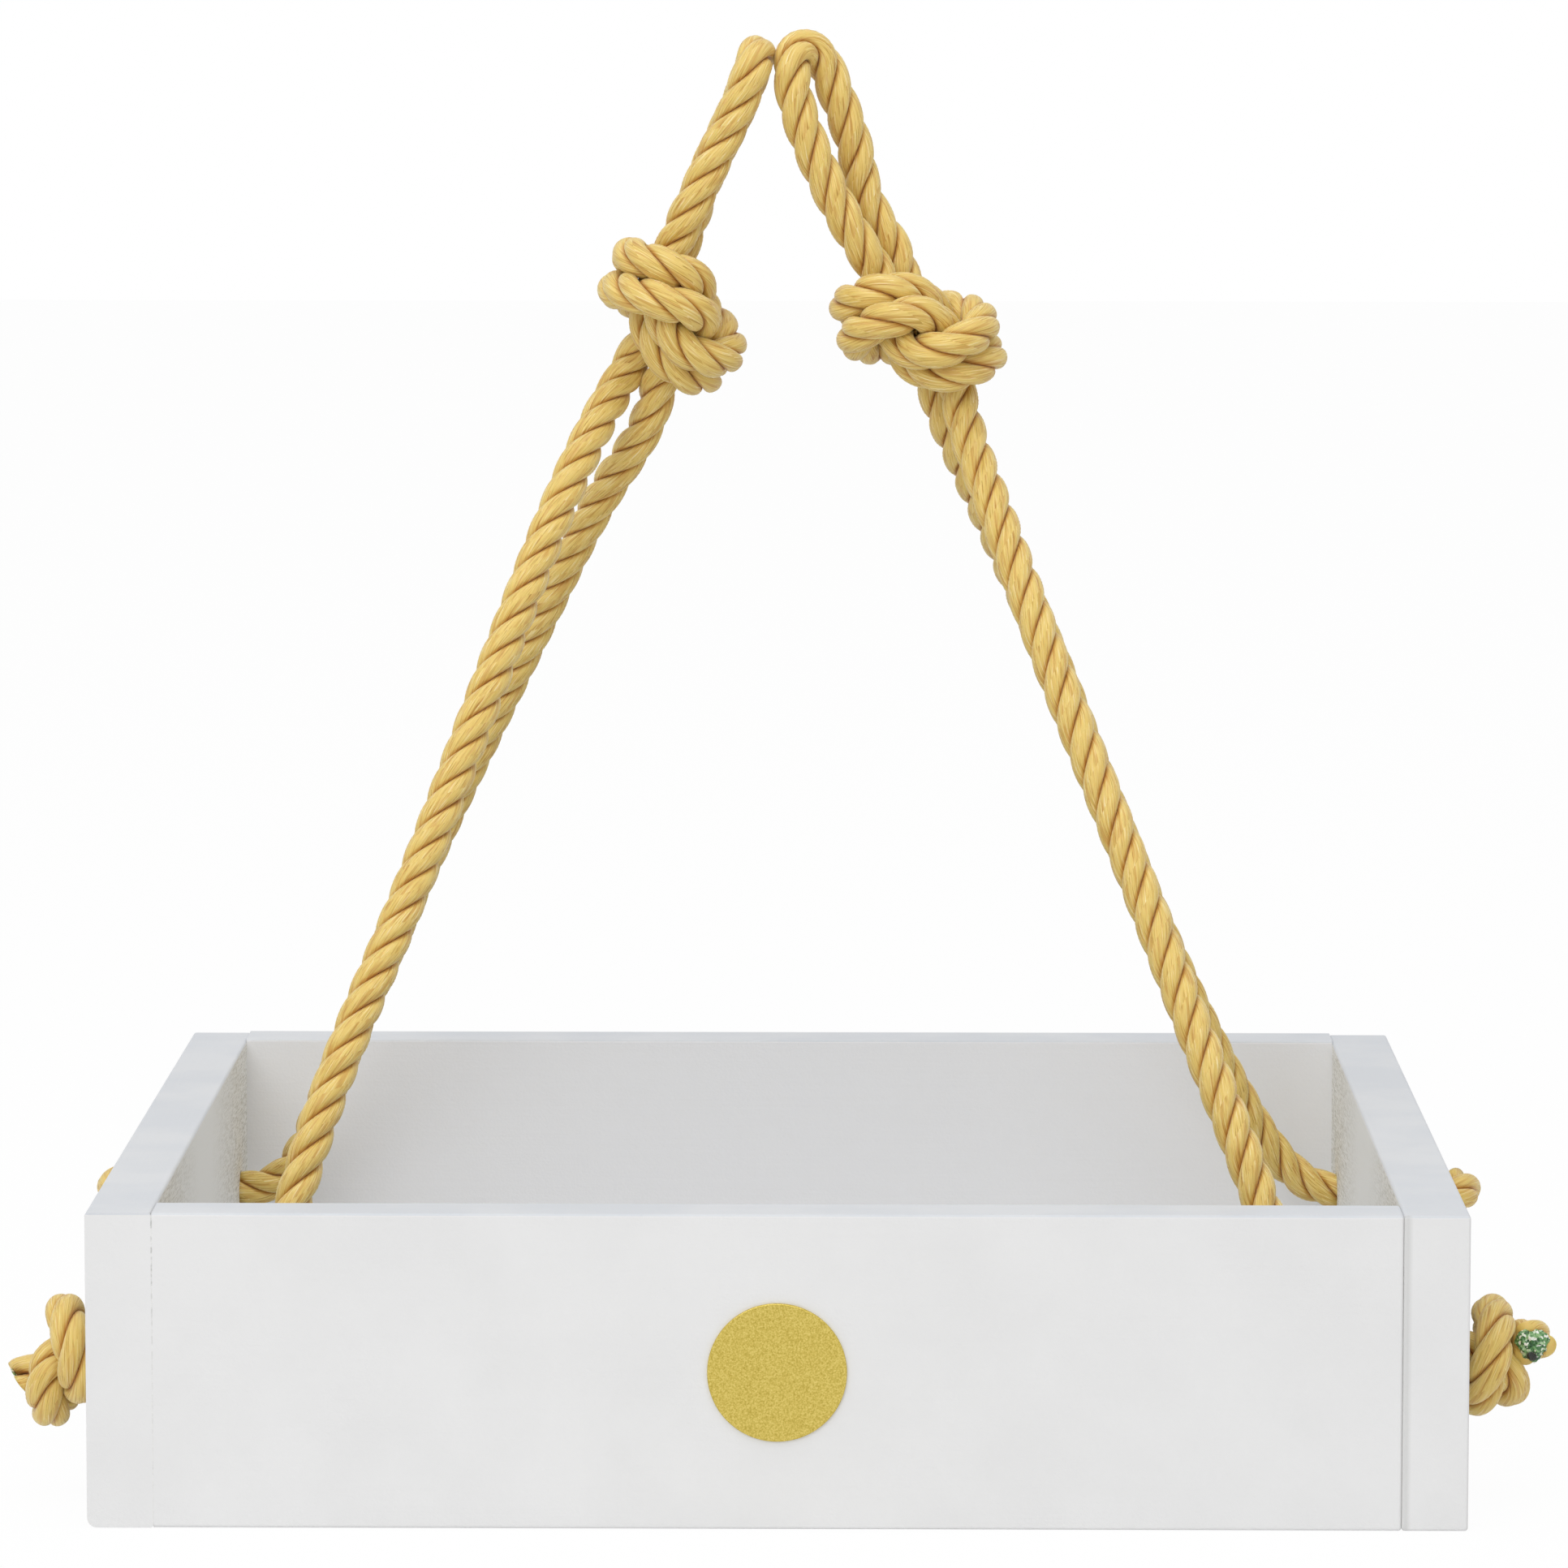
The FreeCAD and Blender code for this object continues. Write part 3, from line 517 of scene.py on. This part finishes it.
def even_steps(line, step):
    """Points at even steps along a line, and how far along it each one is."""
    along = np.r_[0.0, np.cumsum(np.linalg.norm(np.diff(line, axis=0), axis=1))]
    count = int(np.ceil(along[-1] / step)) + 1
    places = np.linspace(0.0, along[-1], count)
    points = np.stack([np.interp(places, along, line[:, axis]) for axis in range(3)], axis=1)
    return points, places


def carried_frames(points):
    """Directions along a line and across it, turned from ring to ring as little as possible."""
    ahead = np.gradient(points, axis=0)
    ahead /= np.linalg.norm(ahead, axis=1)[:, None]
    across = np.cross(ahead[0], (0.0, 0.0, 1.0))
    across /= np.linalg.norm(across)
    normals = np.empty_like(ahead)
    for index, heading in enumerate(ahead):
        across = across - heading * np.dot(across, heading)
        across = across / np.linalg.norm(across)
        normals[index] = across
    return ahead, normals, np.cross(ahead, normals)


ROPE_RADIUS = 0.0049
STRANDS = 3
STRAND_SHARE = 0.53
STRAND_WIDTH = 1.28
LAY_LENGTH = 0.0278
STEP = 0.0011
STRAND_SIDES = 20
# A cut end frays: within about 3 mm of it the strands spread and round out.
FRAY_LENGTH = 0.003
FRAY_SPREAD = 0.28
FRAY_SWELL = 0.1
FRAY_ROUNDING = 0.3
# The fibre map is in centimetres, and each strand's part of it starts 37 cm further on.
MAP_UNITS = 100.0
STRAND_SHIFT = 37.0


def wound_strands(points, places):
    """Rings of three strands wound round a line, each strand's fibre map, and its crests.

    A ring of a strand is an ellipse in the plane across the rope. Its centre goes round the
    line once a lay, right-handed, and its long half axis lies round the rope. The map holds
    centimetres along the fibres and across them: the fibres lean back by the lay angle, so
    they run along the rope.
    """
    ahead, normal, side = carried_frames(points)
    end_room = np.minimum(places, places[-1] - places)
    fray = np.exp(-(end_room / FRAY_LENGTH) ** 2)
    centre_out = ROPE_RADIUS * STRAND_SHARE * (1.0 + FRAY_SPREAD * fray)
    deep = ROPE_RADIUS * (1.0 - STRAND_SHARE) * (1.0 + FRAY_SWELL * fray)
    wide = deep * (STRAND_WIDTH - FRAY_ROUNDING * fray)
    around = np.linspace(0.0, 2.0 * np.pi, STRAND_SIDES, endpoint=False)
    girth = np.r_[around, 2.0 * np.pi][None, :] * deep.mean() * MAP_UNITS
    lay_angle = np.arctan(2.0 * np.pi * ROPE_RADIUS * STRAND_SHARE / LAY_LENGTH)
    rings, maps = [], []
    for strand in range(STRANDS):
        turn = 2.0 * np.pi * (places / LAY_LENGTH + strand / STRANDS)
        out = normal * np.cos(turn)[:, None] + side * np.sin(turn)[:, None]
        tangent = np.cross(ahead, out)
        core = points + out * centre_out[:, None]
        rings.append(core[:, None, :]
                     + out[:, None, :] * (deep[:, None] * np.cos(around))[:, :, None]
                     + tangent[:, None, :] * (wide[:, None] * np.sin(around))[:, :, None])
        run = places[:, None] / np.cos(lay_angle) * MAP_UNITS + strand * STRAND_SHIFT
        maps.append((run * np.cos(lay_angle) - girth * np.sin(lay_angle),
                     run * np.sin(lay_angle) + girth * np.cos(lay_angle)))
    crests = np.tile(0.5 + 0.5 * np.cos(around), (len(points), 1)).ravel()
    return rings, maps, crests


def rope_surface(name, route):
    """Three strands round the spline of a route as one piece, with its line and length.

    The map "fibres" and the attribute "crest", 1 where a strand stands out and 0 at the
    rope's core, are for the material.
    """
    points, places = even_steps(spline_line(route), STEP)
    rings, maps, crests = wound_strands(points, places)
    rows = len(points)
    quads = grid_faces(rows, STRAND_SIDES)
    faces, caps = [], []
    for strand in range(STRANDS):
        first = strand * rows * STRAND_SIDES
        last = first + (rows - 1) * STRAND_SIDES
        faces.extend((quads + first).tolist())
        caps.append(list(range(first, first + STRAND_SIDES))[::-1])
        caps.append(list(range(last, last + STRAND_SIDES)))
    rope = new_piece(name, np.concatenate([ring.reshape(-1, 3) for ring in rings]), faces + caps,
                     rope_yellow)
    row, column = np.meshgrid(np.arange(rows - 1), np.arange(STRAND_SIDES), indexing="ij")
    corner_rows = np.stack([row, row, row + 1, row + 1], axis=-1).ravel()
    corner_columns = np.stack([column, column + 1, column + 1, column], axis=-1).ravel()
    count = len(corner_rows)
    corner_map = np.zeros((len(rope.data.loops), 2))
    for strand, strand_maps in enumerate(maps):
        part = slice(strand * count, (strand + 1) * count)
        for axis, values in enumerate(strand_maps):
            corner_map[part, axis] = values[corner_rows, corner_columns]
    layer = rope.data.uv_layers.new(name="fibres")
    layer.data.foreach_set("uv", corner_map.ravel())
    crest = rope.data.attributes.new("crest", "FLOAT", "POINT")
    crest.data.foreach_set("value", np.tile(crests, STRANDS))
    return rope, points, places[-1]


rope_yellow, tree, shader = new_material("yellow_polypropylene_filament", Roughness=0.46, IOR=1.49)
shader.inputs["Specular IOR Level"].default_value = 0.5
shader.inputs["Sheen Weight"].default_value = 0.2
# The filaments are translucent, so light soaks about 1 mm into the grooves.
shader.inputs["Subsurface Weight"].default_value = 0.35
shader.inputs["Subsurface Radius"].default_value = (1.0, 0.65, 0.3)
shader.inputs["Subsurface Scale"].default_value = 0.0015
fibre_map = add_node(tree, "ShaderNodeUVMap", {"uv_map": "fibres"})
# Filaments are under 0.1 mm thick, and are drawn as bundles 0.23 mm wide so that they show.
# Yarns are 0.8 mm wide. A bundle shows for about 9 mm and a yarn for about 14 mm.
drawn = add_node(tree, "ShaderNodeMapping", {"Scale": (1.1, 44.0, 1.0)}, {"Vector": fibre_map})
filaments = add_node(tree, "ShaderNodeTexNoise", {"Scale": 1.0, "Detail": 4.0}, {"Vector": drawn})
spun = add_node(tree, "ShaderNodeMapping", {"Scale": (0.7, 12.0, 1.0)}, {"Vector": fibre_map})
yarns = add_node(tree, "ShaderNodeTexNoise", {"Scale": 1.0, "Detail": 2.0}, {"Vector": spun})
# The eye sees golden yellow, and the pale streaks are painted highlights where filaments catch the
# light.
fibre_tone = add_node(tree, "ShaderNodeValToRGB", links={"Fac": filaments})
set_ramp(fibre_tone, [(0.3, "#BA8F37"), (0.42, "#DFBF63"), (0.58, "#EACE7A"), (0.74, "#FAEABC")])
# Between the yarns the colour darkens to brown: painted shade in the crevices.
painted_yarn_shade = add_node(tree, "ShaderNodeMapRange",
                         {"From Min": 0.36, "From Max": 0.48, "To Min": 0.5, "To Max": 0.0},
                         {"Value": yarns})
# Grooves between strands are thin, and only their floor darkens to brown: painted shade.
crest = add_node(tree, "ShaderNodeAttribute", {"attribute_name": "crest"})
painted_strand_groove_shade = add_node(tree, "ShaderNodeMapRange",
                     {"From Min": 0.25, "From Max": 0.55, "To Min": 1.0, "To Max": 0.0},
                     {"Value": crest.outputs["Fac"]})
colour = fibre_tone.outputs["Color"]
for tint, factor in (("#D9AE62", painted_yarn_shade), ("#D9AC60", painted_strand_groove_shade)):
    layer = add_node(tree, "ShaderNodeMix",
                     {"data_type": "RGBA", "blend_type": "MULTIPLY", "B": to_linear(tint)},
                     {"Factor": factor, "A": colour})
    colour = layer.outputs["Result"]
tree.links.new(colour, shader.inputs["Base Color"])
relief = add_node(tree, "ShaderNodeMath", {"operation": "ADD"}, {0: filaments, 1: yarns})
bump = add_node(tree, "ShaderNodeBump", {"Strength": 0.7, "Distance": 0.00035}, {"Height": relief})
tree.links.new(bump.outputs["Normal"], shader.inputs["Normal"])

left_route = rope_route(
    placed(DROPPED_STOPPER, *LEFT_FRONT_STOPPER), LEFT_FRONT_LEG, LEFT_PASSES,
    LEFT_LOOP_KNOT, LEFT_EYE, LEFT_BACK_LEG, placed(TURNED_STOPPER, *LEFT_BACK_STOPPER),
)
right_route = rope_route(
    placed(TURNED_STOPPER, *RIGHT_FRONT_STOPPER), RIGHT_FRONT_LEG, RIGHT_PASSES,
    RIGHT_LOOP_KNOT, RIGHT_EYE, RIGHT_BACK_LEG, placed(TURNED_STOPPER, *RIGHT_BACK_STOPPER),
)
rope_lines = {}
for side_name, route in (("left", left_route), ("right", right_route)):
    rope, line, length = rope_surface(f"{side_name}_hanging_rope", route)
    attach(rope, "root")
    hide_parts(f"{side_name}_rope")
    rope_lines[side_name] = (rope, line, length)


# End seals
# Each cut end is dipped in clear sealant with green speckle, which sets as an uneven lump
# over the three strand ends. It keeps the lay from opening.

sealant, tree, shader = new_material("speckled_green_sealant", Roughness=0.3, IOR=1.5)
place = add_node(tree, "ShaderNodeTexCoord").outputs["Object"]
# Flecks are about 0.6 mm across: greens of several depths, and a few white ones that are painted
# glints.
flecks = add_node(tree, "ShaderNodeTexVoronoi", {"Scale": 1700.0}, {"Vector": place})
fleck_tone = add_node(tree, "ShaderNodeSeparateColor", links={"Color": flecks.outputs["Color"]})
seal_tone = add_node(tree, "ShaderNodeValToRGB", links={"Fac": fleck_tone.outputs["Red"]})
set_ramp(seal_tone, [(0.1, "#355F3A"), (0.45, "#5C9354"), (0.72, "#9CC28A"), (0.88, "#F6F8EE")])
# A dark patch, 3 to 4 mm across, is painted under the right front dab.
DARK_PATCH_PLACE = (0.1826, -0.119, 0.0358)
patch_distance = add_node(tree, "ShaderNodeVectorMath", {"operation": "DISTANCE", 1: DARK_PATCH_PLACE}, {0: place})
in_dark_patch = add_node(tree, "ShaderNodeMapRange",
                    {"From Min": 0.0014, "From Max": 0.0019, "To Min": 1.0, "To Max": 0.0},
                    {"Value": patch_distance.outputs["Value"]})
patched_tone = add_node(tree, "ShaderNodeMix", {"data_type": "RGBA", "B": to_linear("#23261F")},
                   {"Factor": in_dark_patch, "A": seal_tone})
tree.links.new(patched_tone.outputs["Result"], shader.inputs["Base Color"])
bump = add_node(tree, "ShaderNodeBump", {"Strength": 0.6, "Distance": 0.0004},
                {"Height": flecks.outputs["Distance"]})
tree.links.new(bump.outputs["Normal"], shader.inputs["Normal"])


SEAL_RADIUS = 0.0039
SEAL_ROWS = 16
SEAL_COLUMNS = 48


def seal_lump(name, tip, heading, height):
    """A dab in the middle of a rope's cut end: a half ellipsoid with a ragged rim.

    Its radius grows toward each strand by a cosine of three times the angle and wavers by
    two faster sines, and its height by a product of sines, so the strands show round it.
    """
    polar = np.linspace(0.02, 0.62 * np.pi, SEAL_ROWS)[:, None]
    angle = np.linspace(0.0, 2.0 * np.pi, SEAL_COLUMNS, endpoint=False)[None, :]
    lobes = 1.0 + 0.14 * np.cos(3.0 * angle + 0.6) * np.sin(polar) ** 2
    ragged = 0.07 * np.sin(7.0 * angle + 4.0 * polar) + 0.05 * np.sin(11.0 * angle - 5.0 * polar)
    radius = SEAL_RADIUS * np.sin(polar) * (lobes + ragged * np.sin(polar))
    bumps = 1.0 + 0.22 * np.sin(5.0 * angle + 1.0) * np.sin(4.0 * polar)
    rise = height * np.cos(polar) * bumps
    heading = heading / np.linalg.norm(heading)
    across = np.cross(heading, (0.3, 0.1, 0.9))
    across /= np.linalg.norm(across)
    third = np.cross(heading, across)
    points = (tip + heading * rise[..., None]
              + across * (radius * np.cos(angle))[..., None]
              + third * (radius * np.sin(angle))[..., None])
    faces = grid_faces(SEAL_ROWS, SEAL_COLUMNS)[:, ::-1].tolist()
    faces.append(list(range(SEAL_COLUMNS)))
    faces.append(list(range((SEAL_ROWS - 1) * SEAL_COLUMNS, SEAL_ROWS * SEAL_COLUMNS))[::-1])
    piece = new_piece(name, points.reshape(-1, 3), faces, sealant)
    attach(piece, "root")
    return piece


# The left front dab is nearly flush with its strands, and the right front one stands proud.
FRONT_SEAL_HEIGHT = {"left": 0.0004, "right": 0.0016}
BACK_SEAL_HEIGHT = 0.001
for side_name, (rope, line, length) in rope_lines.items():
    front = seal_lump(f"{side_name}_front_sealant", line[0], line[0] - line[3],
                      FRONT_SEAL_HEIGHT[side_name])
    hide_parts(f"{side_name}_front_end_seal")
    back = seal_lump(f"{side_name}_back_sealant", line[-1], line[-1] - line[-4],
                     BACK_SEAL_HEIGHT)
    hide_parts(f"{side_name}_back_end_seal")


# Photographer's table
# A wide table of white paper in a white room, with two large soft windows in front and above
# and a fill all round. The camera stands 2 m in front, a little above the eyes of the ropes.

scene = bpy.context.scene
scene.view_settings.view_transform = "Standard"

CAMERA_PLACE = (0.0205, -1.9889, 0.3812)
YAW, PITCH, ROLL = np.radians([-0.591, 6.273, 0.042])
SENSOR_MM = 36.0
LENS_MM = 179.3
lens = bpy.data.cameras.new("camera")
lens.sensor_width = SENSOR_MM
lens.lens = LENS_MM
lens.clip_end = 20.0
camera = bpy.data.objects.new("camera", lens)
scene.collection.objects.link(camera)
ahead = Vector((np.sin(YAW) * np.cos(PITCH), np.cos(YAW) * np.cos(PITCH), -np.sin(PITCH)))
right = Vector((np.cos(YAW), -np.sin(YAW), 0.0))
up = right.cross(ahead)
turned_right = right * np.cos(ROLL) + up * np.sin(ROLL)
turned_up = up * np.cos(ROLL) - right * np.sin(ROLL)
axes = Matrix((turned_right, turned_up, -ahead)).transposed()
camera.matrix_world = Matrix.Translation(CAMERA_PLACE) @ axes.to_4x4()
scene.camera = camera

table_paper, tree, shader = new_material("white_paper", Roughness=0.9)
shader.inputs["Base Color"].default_value = to_linear("#F4F4F4")


def seen_directly(tree):
    """1 for rays from the camera, mirrored or sent on through glass too, and 0 for the rest."""
    rays = add_node(tree, "ShaderNodeLightPath").outputs
    bounced = add_node(tree, "ShaderNodeMath", {"operation": "MAXIMUM"},
                       {0: rays["Is Glossy Ray"], 1: rays["Is Transmission Ray"]})
    return add_node(tree, "ShaderNodeMath", {"operation": "MAXIMUM"},
                    {0: rays["Is Camera Ray"], 1: bounced})


# Seen directly the paper glows white, and a small share of its own shading keeps the shadow.
GLOW_SHARE = 0.96
glow = add_node(tree, "ShaderNodeEmission", {"Strength": 1.0})
share = add_node(tree, "ShaderNodeMath", {"operation": "MULTIPLY", 1: GLOW_SHARE},
                 {0: seen_directly(tree)})
paper_look = add_node(tree, "ShaderNodeMixShader", links={0: share, 1: shader, 2: glow})
tree.links.new(paper_look.outputs["Shader"], tree.nodes["Material Output"].inputs["Surface"])

PAPER_REACH = 6.0
PAPER_LEVEL = -0.0002
paper_corners = np.array([(-1.0, -1.0), (1.0, -1.0), (1.0, 1.0), (-1.0, 1.0)]) * PAPER_REACH
paper = new_piece("table_paper", np.c_[paper_corners, np.full(4, PAPER_LEVEL)],
                  [[0, 1, 2, 3]], table_paper, smooth=False)


def soft_window(name, place, target, width, height, power):
    """A rectangular area lamp that faces a point."""
    light = bpy.data.lights.new(name, "AREA")
    light.shape = "RECTANGLE"
    light.size = width
    light.size_y = height
    light.energy = power
    lamp = bpy.data.objects.new(name, light)
    scene.collection.objects.link(lamp)
    lamp.location = place
    lamp.rotation_euler = (Vector(target) - Vector(place)).to_track_quat("-Z", "Y").to_euler()


soft_window("front_window", place=(-0.7, -2.2, 1.5), target=(0.0, 0.0, 0.12),
            width=1.6, height=1.2, power=16.5)
soft_window("top_window", place=(-0.1, -0.5, 1.9), target=(0.0, 0.1, 0.05),
            width=1.6, height=1.6, power=13.0)

FILL_STRENGTH = 0.6
world = bpy.data.worlds.new("white_room")
scene.world = world
world.use_nodes = True
tree = world.node_tree
fill = tree.nodes["Background"]
fill.inputs["Color"].default_value = to_linear("#FFFFFF")
fill.inputs["Strength"].default_value = FILL_STRENGTH
white_wall = add_node(tree, "ShaderNodeBackground", {"Color": to_linear("#FFFFFF"), "Strength": 1.0})
room = add_node(tree, "ShaderNodeMixShader",
                links={0: seen_directly(tree), 1: fill, 2: white_wall})
tree.links.new(room.outputs["Shader"], tree.nodes["World Output"].inputs["Surface"])
